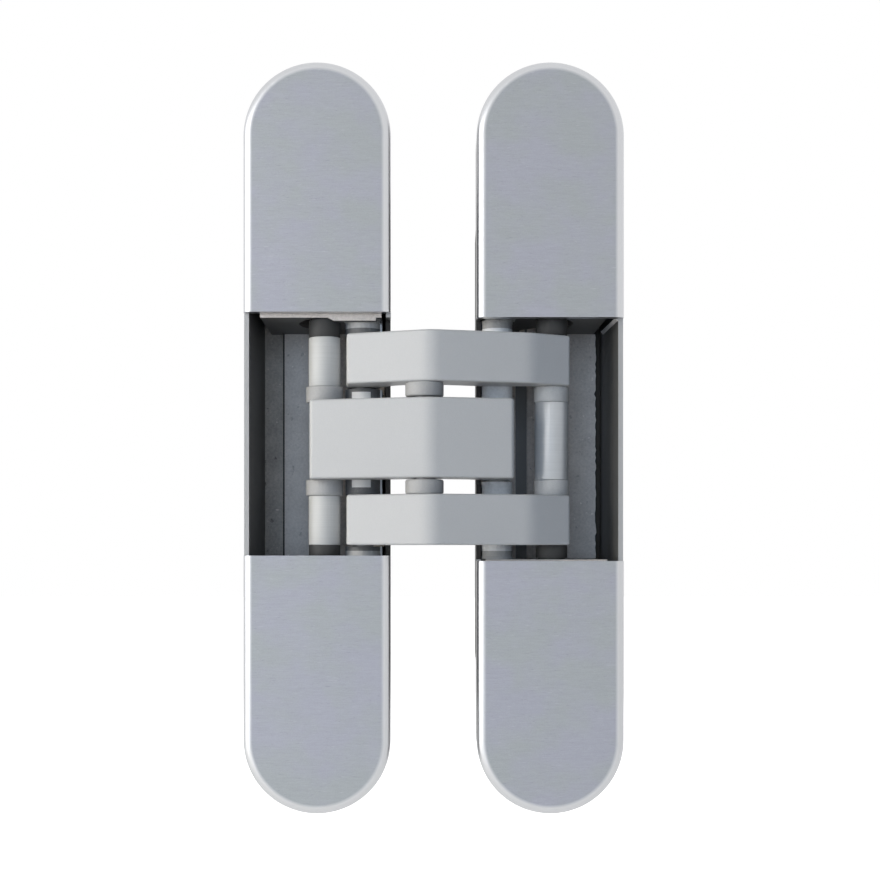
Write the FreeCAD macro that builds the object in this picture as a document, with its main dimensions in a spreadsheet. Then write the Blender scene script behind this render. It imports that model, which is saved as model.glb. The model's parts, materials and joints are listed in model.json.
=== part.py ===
"""Concealed door hinge with two crossing arms, drawn open flat (180 degrees).

Millimetres, +Z up. The frame leaf is on the left, the door leaf on the right, and their faces
look along -Y. The origin is the middle of the frame leaf's four fixing holes, on its seat plane.
Every piece is drawn with its depth measured from the leaf faces and then set back by seat_depth.
Pieces of a leaf are drawn about that leaf's middle, the arms and all pins from the frame leaf's
inner edge.
"""
import FreeCAD, Part
import math
import os
import re
import Sketcher

from FreeCAD import Placement, Rotation, Vector

doc = FreeCAD.newDocument("ConcealedHinge")
sheet = doc.addObject("Spreadsheet::Sheet", "Sizes")

# Driving sizes, millimetres, and the draft in degrees
DRIVING = [
    ("leaf_width", 30.0, "width of each leaf"),
    ("leaf_length", 153.0, "height of each leaf"),
    ("leaf_gap", 17.5, "gap between the open leaves"),
    ("seat_depth", 14.0, "face to the back of the fixing ends"),
    ("housing_depth", 30.8, "face to the back of the housing"),
    ("fixing_end", 16.5, "height of a round fixing end beyond the deep box"),
    ("wall", 1.0, "housing side wall"),
    ("draft", 1.5, "draft of the cast housing's walls"),
    ("floor_wall", 1.5, "housing floor"),
    ("cap_thickness", 2.6, "cover cap"),
    ("cap_rounding", 1.6, "rounded rim of the cap"),
    ("frame_opening_shift", 0.8, "how far the frame caps' opening sits up"),
    ("door_opening_shift", -0.3, "how far the door caps' opening sits up"),
    ("stud_radius", 1.5, "press stud of a cap"),
    ("stud_length", 4.0, "press stud of a cap"),
    ("far_stud_inset", 6.0, "second press stud from the tip of the round end"),
    ("fixing_radius", 2.6, "fixing hole"),
    ("fixing_sink", 1.8, "countersink of a fixing hole"),
    ("fixing_pitch_x", 13.0, "fixing holes, centre to centre across"),
    ("fixing_margin", 3.0, "fixing hole's axis beyond the deep box"),
    ("inner_wall_drop", 4.9, "inner wall lower than the housing front"),
    ("arm_notch_depth", 13.4, "notch in the inner wall behind the middle arm"),
    ("notch_clearance", 0.8, "notch above and below the middle arm"),
    ("back_rounding", 1.0, "rounded back edge of the housing"),
    ("carriage_side_gap", 0.9, "carriage to the inner wall"),
    ("carriage_outer_gap", 2.2, "carriage to the outer wall"),
    ("carriage_floor", 1.2, "carriage floor plate"),
    ("frame_floor_inset", 2.6, "frame carriage's floor short of its outer side"),
    ("door_floor_inset", 2.0, "door carriage's floor short of its outer side"),
    ("stack_room", 3.35, "stack of arms to each end block, before its shift"),
    ("block_front", 2.9, "depth of the end blocks' front faces"),
    ("pad_height", 0.6, "raised pad round a pivot on its end block"),
    ("frame_pad_radius", 3.9, "raised pad round the frame pivot"),
    ("door_pad_radius", 3.3, "raised pad round the door pivot"),
    ("pivot_depth", 8.6, "leaf pivots below the faces"),
    ("frame_pivot_inset", 5.95, "frame pivot from the leaf's inner edge"),
    ("door_pivot_inset", 4.5, "door pivot from the leaf's inner edge"),
    ("frame_lug_radius", 3.6, "knuckle round the frame pivot"),
    ("door_lug_radius", 3.2, "knuckle round the door pivot"),
    ("crossing_shift", 1.9, "crossing pin from the middle of the gap to the frame's side"),
    ("crossing_height", 3.6, "crossing pin in front of the faces"),
    ("inner_slide_inset", 13.75, "middle arm's slide pin from the frame leaf's inner edge"),
    ("inner_slide_depth", 6.3, "middle arm's slide pin below the faces"),
    ("outer_slide_inset", 15.65, "outer arms' slide pin from the door leaf's inner edge"),
    ("outer_slide_depth", 6.2, "outer arms' slide pin below the faces"),
    ("closed_gap", 6.5, "gap between the leaf faces of the shut hinge"),
    ("stack_z", -0.4, "middle of the stack of arms"),
    ("middle_arm_height", 16.0, "middle arm"),
    ("outer_arm_height", 10.2, "upper and lower outer arm"),
    ("arm_gap", 3.2, "gap between two arms of the stack"),
    ("crease_shift", 0.85, "crease of the arms from the middle of the gap to the frame's side"),
    ("crease_height", 8.0, "crease of the arms in front of the faces"),
    ("crease_radius", 6.0, "rounding of the crease"),
    ("outer_left_inset", 8.85, "outer arms' left front corner from the frame leaf's inner edge"),
    ("outer_left_height", 1.2, "outer arms' left front corner"),
    ("outer_bend_inset", 10.9, "outer arms' second crease from the door leaf's inner edge"),
    ("outer_bend_height", 2.6, "outer arms' second crease"),
    ("outer_right_depth", 2.5, "outer arms' right front corner"),
    ("middle_left_inset", 16.35, "middle arm's left front corner from the frame leaf's inner edge"),
    ("middle_left_height", 1.7, "middle arm's left front corner"),
    ("middle_right_inset", 7.35, "middle arm's right front corner from the door leaf's inner edge"),
    ("middle_right_height", 4.2, "middle arm's right front corner"),
    ("outer_end_radius", 3.5, "outer arms' sliding end"),
    ("middle_end_radius", 3.25, "middle arm's sliding end"),
    ("crossing_boss", 4.0, "crossing pin to the back of the arms"),
    ("knuckle_clearance", 0.9, "back of an arm to a knuckle in front of which it passes"),
    ("end_corner_radius", 2.9, "rounded corner of an arm's end"),
    ("front_corner_radius", 1.0, "rounded front corner of an arm"),
    ("bend_radius", 10.0, "rounding of the outer arms' second crease"),
    ("hollow_radius", 1.5, "rounded corners at the back of an arm"),
    ("waist_depth", 3.0, "back of an arm between its crossing and its knuckle"),
    ("shoulder_depth", 6.5, "where an arm's knuckle meets its waist"),
    ("arm_rounding", 0.5, "rounded edge of an arm"),
    ("pin_radius", 2.2, "pivot, crossing and slide pins"),
    ("bush_wall", 0.5, "bearing bush"),
    ("seat_clearance", 0.02, "a fixed piece in its bore, on the radius"),
    ("running_clearance", 0.05, "a pin that turns in its bush, on the radius"),
    ("side_clearance", 0.3, "between faces of pieces that move past each other"),
    ("sleeve_radius", 3.25, "slide pin sleeves"),
    ("outer_sleeve_radius", 3.5, "sleeve between the outer arms"),
    ("washer_radius", 3.8, "washers beside the middle arm"),
    ("outer_washer_radius", 3.6, "washers between the outer arms"),
    ("spacer_radius", 3.85, "spacer rings round the crossing pin"),
    ("pin_recess", 0.3, "crossing pin short of the outer arms' faces"),
    ("pin_bury", 8.0, "pivot pin into each end block"),
    ("shoe_radius", 2.8, "guide shoe in its groove"),
    ("shoe_depth", 2.6, "guide shoe into its groove"),
    ("groove_clearance", 0.3, "guide shoe to the groove's wall"),
    ("groove_depth", 2.9, "guide groove into the end block"),
    ("screw_margin", 0.5, "screw heads from the pivot pin, the groove and the block's sides"),
    ("screw_recess", 0.4, "screw heads below the end block's front"),
    ("clamp_radius", 2.5, "clamp screw shank"),
    ("clamp_head_radius", 4.0, "clamp screw head"),
    ("clamp_head_height", 3.6, "clamp screw head"),
    ("clamp_socket", 2.3, "hexagon socket of a clamp screw, on the corners' radius"),
    ("adjuster_radius", 3.4, "adjusting screw head"),
    ("adjuster_head_height", 6.0, "adjusting screw head"),
    ("adjuster_journal", 1.9, "adjusting screw journal"),
    ("adjuster_throw", 0.9, "adjusting screw journal off its head's axis"),
    ("adjuster_socket", 2.0, "hexagon socket of an adjusting screw, on the corners' radius"),
    ("socket_depth", 2.2, "hexagon sockets"),
]

# Sizes worked out from the driving ones. Depths are measured from the leaf faces, and X of the
# arms and their pins from the frame leaf's inner edge.
DERIVED = [
    ("leaf_pitch", "leaf_width + leaf_gap"),
    ("leaf_half_width", "leaf_width / 2"),
    ("middle_half", "middle_arm_height / 2"),
    ("outer_low", "middle_half + arm_gap"),
    ("outer_high", "outer_low + outer_arm_height"),
    ("block_edge", "outer_high + stack_room"),
    ("lower_block_edge", "-block_edge"),
    ("leaf_top", "leaf_length / 2 - leaf_half_width"),
    ("leaf_bottom", "-leaf_top"),
    ("deep_top", "leaf_top - fixing_end"),
    ("deep_bottom", "-deep_top"),
    ("frame_upper_edge", "block_edge + frame_opening_shift"),
    ("frame_lower_edge", "-block_edge + frame_opening_shift"),
    ("door_upper_edge", "block_edge + door_opening_shift"),
    ("door_lower_edge", "-block_edge + door_opening_shift"),
    ("pocket_half_width", "leaf_half_width - wall"),
    ("pocket_floor", "housing_depth - floor_wall"),
    ("carriage_inner", "pocket_half_width - carriage_side_gap"),
    ("carriage_outer", "carriage_outer_gap - pocket_half_width"),
    ("carriage_width", "carriage_inner - carriage_outer"),
    ("carriage_radius", "carriage_width / 2"),
    ("carriage_middle", "(carriage_inner + carriage_outer) / 2"),
    ("carriage_front", "pocket_floor - carriage_floor"),
    ("frame_pivot_offset", "leaf_half_width - frame_pivot_inset"),
    ("door_pivot_offset", "leaf_half_width - door_pivot_inset"),
    ("frame_pivot_x", "-frame_pivot_inset"),
    ("door_pivot_x", "leaf_gap + door_pivot_inset"),
    ("crossing_x", "leaf_gap / 2 - crossing_shift"),
    ("crease_x", "leaf_gap / 2 - crease_shift"),
    ("inner_slide_x", "-inner_slide_inset"),
    ("outer_slide_x", "leaf_gap + outer_slide_inset"),
    ("outer_left_x", "-outer_left_inset"),
    ("outer_bend_x", "leaf_gap + outer_bend_inset"),
    ("middle_left_x", "-middle_left_inset"),
    ("middle_right_x", "leaf_gap + middle_right_inset"),
    ("crossing_depth", "-crossing_height"),
    ("upper_arm_z", "stack_z + outer_low"),
    ("lower_arm_z", "stack_z - outer_high"),
    ("middle_arm_z", "stack_z - middle_half"),
    ("crease_depth", "-crease_height"),
    ("arm_back", "crossing_depth + crossing_boss"),
    ("outer_left_depth", "-outer_left_height"),
    ("outer_bend_depth", "-outer_bend_height"),
    ("outer_right_x", "outer_slide_x + outer_end_radius"),
    ("outer_slide_back", "outer_slide_depth + outer_end_radius"),
    ("outer_slide_inner", "outer_slide_x - outer_end_radius"),
    ("outer_back_depth", "pivot_depth - door_lug_radius - knuckle_clearance"),
    ("outer_heel_x", "frame_pivot_x + frame_lug_radius"),
    ("outer_heel_outer_x", "frame_pivot_x - frame_lug_radius"),
    ("outer_heel_back", "pivot_depth + frame_lug_radius"),
    ("outer_waist_x", "outer_heel_x + frame_lug_radius"),
    ("middle_left_depth", "-middle_left_height"),
    ("middle_right_depth", "-middle_right_height"),
    ("middle_heel_x", "door_pivot_x + door_lug_radius"),
    ("middle_heel_inner_x", "door_pivot_x - door_lug_radius"),
    ("middle_heel_back", "pivot_depth + door_lug_radius"),
    ("middle_waist_x", "middle_heel_inner_x - door_lug_radius"),
    ("middle_back_depth", "pivot_depth - frame_lug_radius - knuckle_clearance"),
    ("middle_slide_outer", "inner_slide_x - middle_end_radius"),
    ("middle_slide_inner", "inner_slide_x + middle_end_radius"),
    ("middle_slide_back", "inner_slide_depth + middle_end_radius"),
    ("bush_radius", "pin_radius + running_clearance + bush_wall"),
    ("bush_bore", "bush_radius + seat_clearance"),
    ("pin_seat", "pin_radius + seat_clearance"),
    ("running_bore", "pin_radius + running_clearance"),
    ("stud_bore", "stud_radius + seat_clearance"),
    ("clamp_bore", "clamp_radius + seat_clearance"),
    ("stud_hole_depth", "stud_length + side_clearance"),
    ("fixing_x", "fixing_pitch_x / 2"),
    ("fixing_z", "deep_top + leaf_half_width + fixing_margin"),
    ("wall_cut_inside", "pocket_half_width - wall"),
    ("wall_cut_outside", "leaf_half_width + wall"),
    ("notch_top", "stack_z + middle_half + notch_clearance"),
    ("notch_bottom", "stack_z - middle_half - notch_clearance"),
    ("outer_flat_x", "door_pivot_x - door_lug_radius"),
    ("middle_flat_x", "frame_pivot_x + frame_lug_radius"),
    ("outer_step_room", "outer_slide_back - outer_back_depth - end_corner_radius"),
    ("outer_step_radius", "min(hollow_radius; outer_step_room - side_clearance)"),
    ("middle_step_room", "middle_slide_back - middle_back_depth - end_corner_radius"),
    ("middle_step_radius", "min(hollow_radius; middle_step_room - side_clearance)"),
    ("screw_front", "block_front + screw_recess"),
    ("far_stud_z", "leaf_length / 2 - far_stud_inset"),
    ("clamp_z", "block_edge + groove_depth + screw_margin + clamp_head_radius"),
    ("clamp_offset", "frame_pivot_offset - pin_radius - screw_margin - clamp_head_radius"),
    ("adjuster_offset", "-carriage_outer - screw_margin - adjuster_radius"),
]

NAMES = {alias for alias, *rest in DRIVING + DERIVED}


def fill_sheet():
    """Write every size into the sheet: a note, the value and its alias."""
    row = 1
    for alias, number, note in DRIVING:
        sheet.set(f"A{row}", note)
        sheet.set(f"B{row}", str(number))
        sheet.setAlias(f"B{row}", alias)
        row += 1
    doc.recompute()
    for alias, formula in DERIVED:
        sheet.set(f"B{row}", "=" + formula)
        sheet.setAlias(f"B{row}", alias)
        doc.recompute()
        row += 1


def size(alias):
    """The value of a named size."""
    return float(sheet.get(alias))


def cell(formula):
    """A formula on named sizes, with the sheet's name put before each of them."""
    return re.sub(r"[a-z]\w*", lambda word: "Sizes." + word[0] if word[0] in NAMES else word[0], formula)


def bind(obj, prop, formula):
    obj.setExpression(prop, cell(formula))


def place(obj, across="0", depth="0", up="0"):
    """Bind an object's position to formulas on the named sizes."""
    bind(obj, "Placement.Base.x", across)
    bind(obj, "Placement.Base.y", depth)
    bind(obj, "Placement.Base.z", up)


# Primitives and booleans, all bound to the sheet

AXIS_TURNS = {
    "z": Rotation(),
    "y": Rotation(Vector(1, 0, 0), -90),
}


def box(name, across, depth, up, long, deep, high):
    obj = doc.addObject("Part::Box", name)
    bind(obj, "Length", long)
    bind(obj, "Width", deep)
    bind(obj, "Height", high)
    place(obj, across, depth, up)
    return obj


def rod(name, radius, length, across, depth, up, axis="z"):
    """A cylinder that starts at the given point and runs along +Z or +Y."""
    obj = doc.addObject("Part::Cylinder", name)
    bind(obj, "Radius", radius)
    bind(obj, "Height", length)
    obj.Placement = Placement(Vector(), AXIS_TURNS[axis])
    place(obj, across, depth, up)
    return obj


def hexagon(name, radius, length, across, depth, up):
    """A six-sided socket that starts at the given point and runs along +Y."""
    obj = doc.addObject("Part::Prism", name)
    obj.Polygon = 6
    bind(obj, "Circumradius", radius)
    bind(obj, "Height", length)
    obj.Placement = Placement(Vector(), AXIS_TURNS["y"])
    place(obj, across, depth, up)
    return obj


def fuse(name, pieces):
    obj = doc.addObject("Part::MultiFuse", name)
    obj.Shapes = pieces
    obj.Refine = True
    return obj


def cut(name, base, tools):
    obj = doc.addObject("Part::Cut", name)
    obj.Base = base
    obj.Tool = tools[0] if len(tools) == 1 else fuse(name + "_tools", tools)
    obj.Refine = True
    return obj


SUB_PARTS = []


def finish(obj, label, across="leaf_half_width"):
    """Name a finished sub-part and set it back from the faces to the part's origin."""
    obj.Label = label
    place(obj, across, "-seat_depth")
    SUB_PARTS.append(obj)
    return obj


# Sketches on a body's own origin planes

def origin_plane(body, role):
    return next(item for item in body.Origin.OriginFeatures if item.Role == role)


def new_sketch(body, name, role, lift=None):
    sketch = body.newObject("Sketcher::SketchObject", name)
    sketch.AttachmentSupport = (origin_plane(body, role), [""])
    sketch.MapMode = "FlatFace"
    if lift:
        bind(sketch, "AttachmentOffset.Base.z", lift)
    return sketch


def pin_point(sketch, geometry, point, across, up):
    """Hold one point of a sketch at two named sizes."""
    for kind, alias in (("DistanceX", across), ("DistanceY", up)):
        index = sketch.addConstraint(Sketcher.Constraint(kind, geometry, point, size_of(alias)))
        sketch.setExpression(f"Constraints[{index}]", cell(alias))


def size_of(alias):
    """The value of a named size or of its negative."""
    if alias == "0":
        return 0.0
    return -size(alias[1:]) if alias.startswith("-") else size(alias)


def polygon(sketch, corners):
    """A closed outline of straight lines through named corners."""
    points = [Vector(size_of(across), size_of(up), 0) for across, up in corners]
    count = len(points)
    for index, point in enumerate(points):
        sketch.addGeometry(Part.LineSegment(point, points[(index + 1) % count]))
    for index in range(count):
        sketch.addConstraint(Sketcher.Constraint("Coincident", index, 2, (index + 1) % count, 1))
    for index, (across, up) in enumerate(corners):
        pin_point(sketch, index, 1, across, up)


def arc_end(sketch, half_width, centre_up, upward):
    """A half circle over the leaf's width, from right to left at the top, left to right below."""
    radius = size(half_width)
    centre = Vector(0, size_of(centre_up), 0)
    start = 0 if upward else math.pi
    circle = Part.Circle(centre, Vector(0, 0, 1), radius)
    return sketch.addGeometry(Part.ArcOfCircle(circle, start, start + math.pi))


def stadium(sketch, half_width, top, bottom):
    """An upright slot outline with round ends."""
    wide = size(half_width)
    high, low = size_of(top), size_of(bottom)
    upper = arc_end(sketch, half_width, top, True)
    left = sketch.addGeometry(Part.LineSegment(Vector(-wide, high, 0), Vector(-wide, low, 0)))
    lower = arc_end(sketch, half_width, bottom, False)
    right = sketch.addGeometry(Part.LineSegment(Vector(wide, low, 0), Vector(wide, high, 0)))
    ring = [upper, left, lower, right]
    for index, item in enumerate(ring):
        sketch.addConstraint(Sketcher.Constraint("Coincident", item, 2, ring[(index + 1) % 4], 1))
    pin_point(sketch, left, 1, "-" + half_width, top)
    pin_point(sketch, left, 2, "-" + half_width, bottom)
    pin_point(sketch, right, 1, half_width, bottom)
    pin_point(sketch, right, 2, half_width, top)
    for arc, centre_up in ((upper, top), (lower, bottom)):
        index = sketch.addConstraint(Sketcher.Constraint("DistanceY", arc, 3, size_of(centre_up)))
        sketch.setExpression(f"Constraints[{index}]", cell(centre_up))


def half_stadium(sketch, half_width, edge, centre_up, upward):
    """A straight edge, two sides and one round end."""
    wide = size(half_width)
    low, high = size_of(edge), size_of(centre_up)
    side = 1 if upward else -1
    near, far = Vector(-wide * side, low, 0), Vector(wide * side, low, 0)
    base = sketch.addGeometry(Part.LineSegment(near, far))
    first = sketch.addGeometry(Part.LineSegment(far, Vector(wide * side, high, 0)))
    arc = arc_end(sketch, half_width, centre_up, upward)
    last = sketch.addGeometry(Part.LineSegment(Vector(-wide * side, high, 0), near))
    ring = [base, first, arc, last]
    for index, item in enumerate(ring):
        sketch.addConstraint(Sketcher.Constraint("Coincident", item, 2, ring[(index + 1) % 4], 1))
    plus, minus = (half_width, "-" + half_width) if upward else ("-" + half_width, half_width)
    pin_point(sketch, base, 1, minus, edge)
    pin_point(sketch, base, 2, plus, edge)
    pin_point(sketch, arc, 1, plus, centre_up)
    pin_point(sketch, arc, 2, minus, centre_up)
    index = sketch.addConstraint(Sketcher.Constraint("DistanceY", arc, 3, size_of(centre_up)))
    sketch.setExpression(f"Constraints[{index}]", cell(centre_up))


def circles(sketch, radius, centres):
    for across, up in centres:
        centre = Vector(size_of(across), size_of(up), 0)
        index = sketch.addGeometry(Part.Circle(centre, Vector(0, 0, 1), size(radius)))
        pin_point(sketch, index, 3, across, up)
        bound = sketch.addConstraint(Sketcher.Constraint("Radius", index, size(radius)))
        sketch.setExpression(f"Constraints[{bound}]", cell(radius))


def pad(body, sketch, length, away=False, taper=None):
    """Add material along the sketch's normal, or against it."""
    feature = body.newObject("PartDesign::Pad", sketch.Name + "_pad")
    feature.Profile = sketch
    feature.Reversed = away
    bind(feature, "Length", length)
    if taper:
        bind(feature, "TaperAngle", taper)
    doc.recompute()
    return feature


def pocket(body, sketch, length, taper=None):
    """Take material away against the sketch's normal, and see that some was there."""
    before = body.Shape.Volume
    feature = body.newObject("PartDesign::Pocket", sketch.Name + "_pocket")
    feature.Profile = sketch
    bind(feature, "Length", length)
    if taper:
        bind(feature, "TaperAngle", taper)
    doc.recompute()
    if body.Shape.Volume > before - 0.1:
        raise RuntimeError(feature.Name + " cuts nothing")
    return feature


def dress(body, kind, radius, chosen):
    """Round or chamfer the edges of the body's tip for which chosen(edge) is true."""
    tip = body.Tip
    names = [f"Edge{number}" for number, edge in enumerate(tip.Shape.Edges, 1) if chosen(edge)]
    if not names:
        raise RuntimeError(body.Name + " has no such edges")
    feature = body.newObject("PartDesign::" + kind, body.Name + "_" + kind.lower())
    feature.Base = (tip, names)
    bind(feature, "Size" if kind == "Chamfer" else "Radius", radius)
    doc.recompute()
    return feature


def near(first, second):
    return abs(first - second) < 1e-4


def is_upright(edge):
    return near(edge.BoundBox.XLength, 0) and near(edge.BoundBox.YLength, 0)


# Closed position and guide paths

def turned(point, angle):
    """A point of the XY plane turned about the origin."""
    return Vector(
        point.x * math.cos(angle) - point.y * math.sin(angle),
        point.x * math.sin(angle) + point.y * math.cos(angle),
        0,
    )


def heading(start, end):
    return math.atan2(end.y - start.y, end.x - start.x)


class Linkage:
    """Where the pins stand while the hinge shuts.

    The outer arms turn on the frame leaf, the middle arm on the crossing pin and the door leaf on
    the middle arm, all in step. Shut, the door leaf faces the frame leaf, turned half round.
    """

    def __init__(self):
        self.frame_pivot = Vector(size("frame_pivot_x"), size("pivot_depth"), 0)
        self.door_pivot = Vector(size("door_pivot_x"), size("pivot_depth"), 0)
        self.crossing = Vector(size("crossing_x"), size("crossing_depth"), 0)
        self.inner_slide = Vector(size("inner_slide_x"), size("inner_slide_depth"), 0)
        self.outer_slide = Vector(size("outer_slide_x"), size("outer_slide_depth"), 0)
        shut_pivot = Vector(size("leaf_gap") - self.door_pivot.x, 0, 0)
        shut_pivot.y = -size("closed_gap") - self.door_pivot.y
        shut_crossing = self.meeting_point(shut_pivot)
        self.outer_turn = self.clockwise(
            heading(self.frame_pivot, self.crossing), heading(self.frame_pivot, shut_crossing)
        )
        self.middle_turn = self.clockwise(
            heading(self.crossing, self.door_pivot), heading(shut_crossing, shut_pivot)
        )

    def meeting_point(self, shut_pivot):
        """The crossing pin of the shut hinge: at both arms' lengths from their pivots."""
        outer = (self.crossing - self.frame_pivot).Length
        middle = (self.crossing - self.door_pivot).Length
        between = shut_pivot - self.frame_pivot
        along = (outer ** 2 - middle ** 2 + between.Length ** 2) / (2 * between.Length)
        aside = math.sqrt(outer ** 2 - along ** 2)
        unit = between / between.Length
        return self.frame_pivot + unit * along + Vector(unit.y, -unit.x, 0) * aside

    @staticmethod
    def clockwise(start, end):
        """The turn from one heading to another, as a negative angle."""
        return (end - start) % (2 * math.pi) - 2 * math.pi

    def slide_pins(self, share):
        """Both slide pins at a share of the way shut, each seen from the leaf that guides it."""
        outer = self.outer_turn * share
        middle = self.middle_turn * share
        crossing = self.frame_pivot + turned(self.crossing - self.frame_pivot, outer)
        door_pivot = crossing + turned(self.door_pivot - self.crossing, middle)
        inner_slide = crossing + turned(self.inner_slide - self.crossing, middle)
        outer_slide = self.frame_pivot + turned(self.outer_slide - self.frame_pivot, outer)
        in_door = self.door_pivot + turned(outer_slide - door_pivot, math.pi * share)
        return inner_slide, in_door


def guide_path(linkage, leaf):
    """Start, middle and end of the slide pin's path in a leaf, from the leaf's middle."""
    points = []
    for share in (0, 0.5, 1):
        inner_slide, outer_slide = linkage.slide_pins(share)
        if leaf == "frame":
            points.append(inner_slide + Vector(size("leaf_half_width"), 0, 0))
        else:
            points.append(outer_slide - Vector(size("leaf_gap") + size("leaf_half_width"), 0, 0))
    return points


def curved_slot(path, radius, low, height):
    """A slot with round ends along the arc through three points, as a solid."""
    arc = Part.Arc(*path).toShape()
    centre = arc.Curve.Center
    spokes = [(point - centre).normalize() for point in path]
    bend = arc.Curve.Radius
    outer = [centre + spoke * (bend + radius) for spoke in spokes]
    inner = [centre + spoke * (bend - radius) for spoke in spokes]
    first_tip = path[0] - (turned(spokes[0], math.pi / 2) * radius) * side_of(spokes)
    last_tip = path[2] + (turned(spokes[2], math.pi / 2) * radius) * side_of(spokes)
    edges = [
        Part.Arc(*outer).toShape(),
        Part.Arc(outer[2], last_tip, inner[2]).toShape(),
        Part.Arc(*reversed(inner)).toShape(),
        Part.Arc(inner[0], first_tip, outer[0]).toShape(),
    ]
    face = Part.Face(Part.Wire(edges))
    slot = face.extrude(Vector(0, 0, height))
    slot.translate(Vector(0, 0, low))
    return slot


def side_of(spokes):
    """1 where the path runs anticlockwise round its centre, and -1 where it runs clockwise."""
    return 1 if spokes[0].cross(spokes[2]).z > 0 else -1


# Leaves

LEAVES = {
    "frame": {"across": "0", "inner": 1, "lug": "frame_lug_radius"},
    "door": {"across": "leaf_pitch", "inner": -1, "lug": "door_lug_radius"},
}


def cap(leaf, end):
    """A plain cover cap with a rounded rim and two press studs on its back."""
    upward = end == "upper"
    edge = f"{leaf}_{end}_edge"
    sign = "" if upward else "-"
    body = doc.addObject("PartDesign::Body", f"{leaf}_{end}_cap")
    outline = new_sketch(body, body.Name + "_outline", "XZ_Plane")
    half_stadium(outline, "leaf_half_width", edge, "leaf_top" if upward else "leaf_bottom", upward)
    pad(body, outline, "cap_thickness", away=True)
    level = size(edge)
    dress(
        body, "Fillet", "cap_rounding",
        lambda rim: near(rim.BoundBox.YMax, 0) and not (near(rim.BoundBox.ZMin, level)
                                                        and near(rim.BoundBox.ZMax, level)),
    )
    studs = new_sketch(body, body.Name + "_studs", "XZ_Plane", "-cap_thickness")
    circles(studs, "stud_radius", [("0", sign + "fixing_z"), ("0", sign + "far_stud_z")])
    pad(body, studs, "stud_length", away=True)
    finish(body, body.Name, LEAVES[leaf]["across"])


def housing(leaf):
    """The cast leaf: shallow round ends for the fixing screws and a deep box between them."""
    inner = LEAVES[leaf]["inner"]
    sign = "" if inner > 0 else "-"
    body = doc.addObject("PartDesign::Body", leaf + "_housing")
    plate = new_sketch(body, leaf + "_plate", "XZ_Plane", "-cap_thickness")
    stadium(plate, "leaf_half_width", "leaf_top", "leaf_bottom")
    pad(body, plate, "seat_depth - cap_thickness", away=True, taper="-draft")
    deep = new_sketch(body, leaf + "_deep_box", "XZ_Plane", "-cap_thickness")
    stadium(deep, "leaf_half_width", "deep_top", "deep_bottom")
    pad(body, deep, "housing_depth - cap_thickness", away=True, taper="-draft")
    back = size("housing_depth")
    dress(
        body, "Fillet", "back_rounding",
        lambda edge: near(edge.BoundBox.YMin, back) and near(edge.BoundBox.YMax, back),
    )

    well = new_sketch(body, leaf + "_well", "XZ_Plane", "-cap_thickness")
    stadium(well, "pocket_half_width", "deep_top", "deep_bottom")
    pocket(body, well, "pocket_floor - cap_thickness", taper="-draft")

    lowered = new_sketch(body, leaf + "_lowered_wall", "XZ_Plane", "-cap_thickness")
    wall_cut(lowered, sign, "block_edge", "lower_block_edge")
    pocket(body, lowered, "inner_wall_drop")
    if leaf == "door":
        notch = new_sketch(body, leaf + "_arm_notch", "XZ_Plane", "-cap_thickness")
        wall_cut(notch, sign, "notch_top", "notch_bottom")
        pocket(body, notch, "arm_notch_depth - cap_thickness")

    holes = new_sketch(body, leaf + "_fixing_holes", "XZ_Plane", "-cap_thickness")
    circles(holes, "fixing_radius", [
        (across, up) for across in ("fixing_x", "-fixing_x") for up in ("fixing_z", "-fixing_z")
    ])
    pocket(body, holes, "seat_depth - cap_thickness")
    front = size("cap_thickness")
    bore = size("fixing_radius")
    dress(
        body, "Chamfer", "fixing_sink",
        lambda edge: near(edge.BoundBox.YMax, front) and near(edge.Length, 2 * math.pi * bore),
    )
    studs = new_sketch(body, leaf + "_stud_holes", "XZ_Plane", "-cap_thickness")
    circles(studs, "stud_bore", [
        ("0", sign_up + name) for name in ("fixing_z", "far_stud_z") for sign_up in ("", "-")
    ])
    pocket(body, studs, "stud_hole_depth")
    clamps = new_sketch(body, leaf + "_clamp_holes", "XZ_Plane", "-cap_thickness")
    clamp_x = screw_places(leaf)[0]
    circles(clamps, "clamp_bore", [(clamp_x, "clamp_z"), (clamp_x, "-clamp_z")])
    pocket(body, clamps, "housing_depth - cap_thickness")
    finish(body, body.Name, LEAVES[leaf]["across"])


def wall_cut(sketch, sign, top, bottom):
    """The outline that takes a stretch out of the leaf's inner wall."""
    inside, outside = sign + "wall_cut_inside", sign + "wall_cut_outside"
    polygon(sketch, [(inside, bottom), (outside, bottom), (outside, top), (inside, top)])


def low_side(inner, low, high):
    """The lower X of a stretch given from outer to inner side, on either leaf."""
    return low if inner > 0 else f"-({high})"


def knuckle(leaf, pivot, name, low, high):
    """A pivot knuckle with the web that carries it on the carriage's floor."""
    lug = LEAVES[leaf]["lug"]
    tall = f"({high}) - ({low})"
    wide = f"carriage_inner - {leaf}_pivot_offset + {lug}"
    start = low_side(LEAVES[leaf]["inner"], f"{leaf}_pivot_offset - {lug}", "carriage_inner")
    eye = rod(name + "_eye", lug, tall, pivot, "pivot_depth", low)
    web = box(
        name + "_web", start, "pivot_depth", low,
        wide, "carriage_front - pivot_depth + carriage_floor / 2", tall,
    )
    return [eye, web]


def knuckle_spans(leaf):
    """Bottom and top of each knuckle: they fill the space beside the arms that turn there."""
    if leaf == "frame":
        return {
            "upper": ("stack_z + outer_high + side_clearance", "block_edge"),
            "middle": ("stack_z - outer_low + side_clearance", "stack_z + outer_low - side_clearance"),
            "lower": ("-block_edge", "stack_z - outer_high - side_clearance"),
        }
    return {
        "upper": ("stack_z + middle_half + side_clearance", "block_edge"),
        "lower": ("-block_edge", "stack_z - middle_half - side_clearance"),
    }


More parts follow.
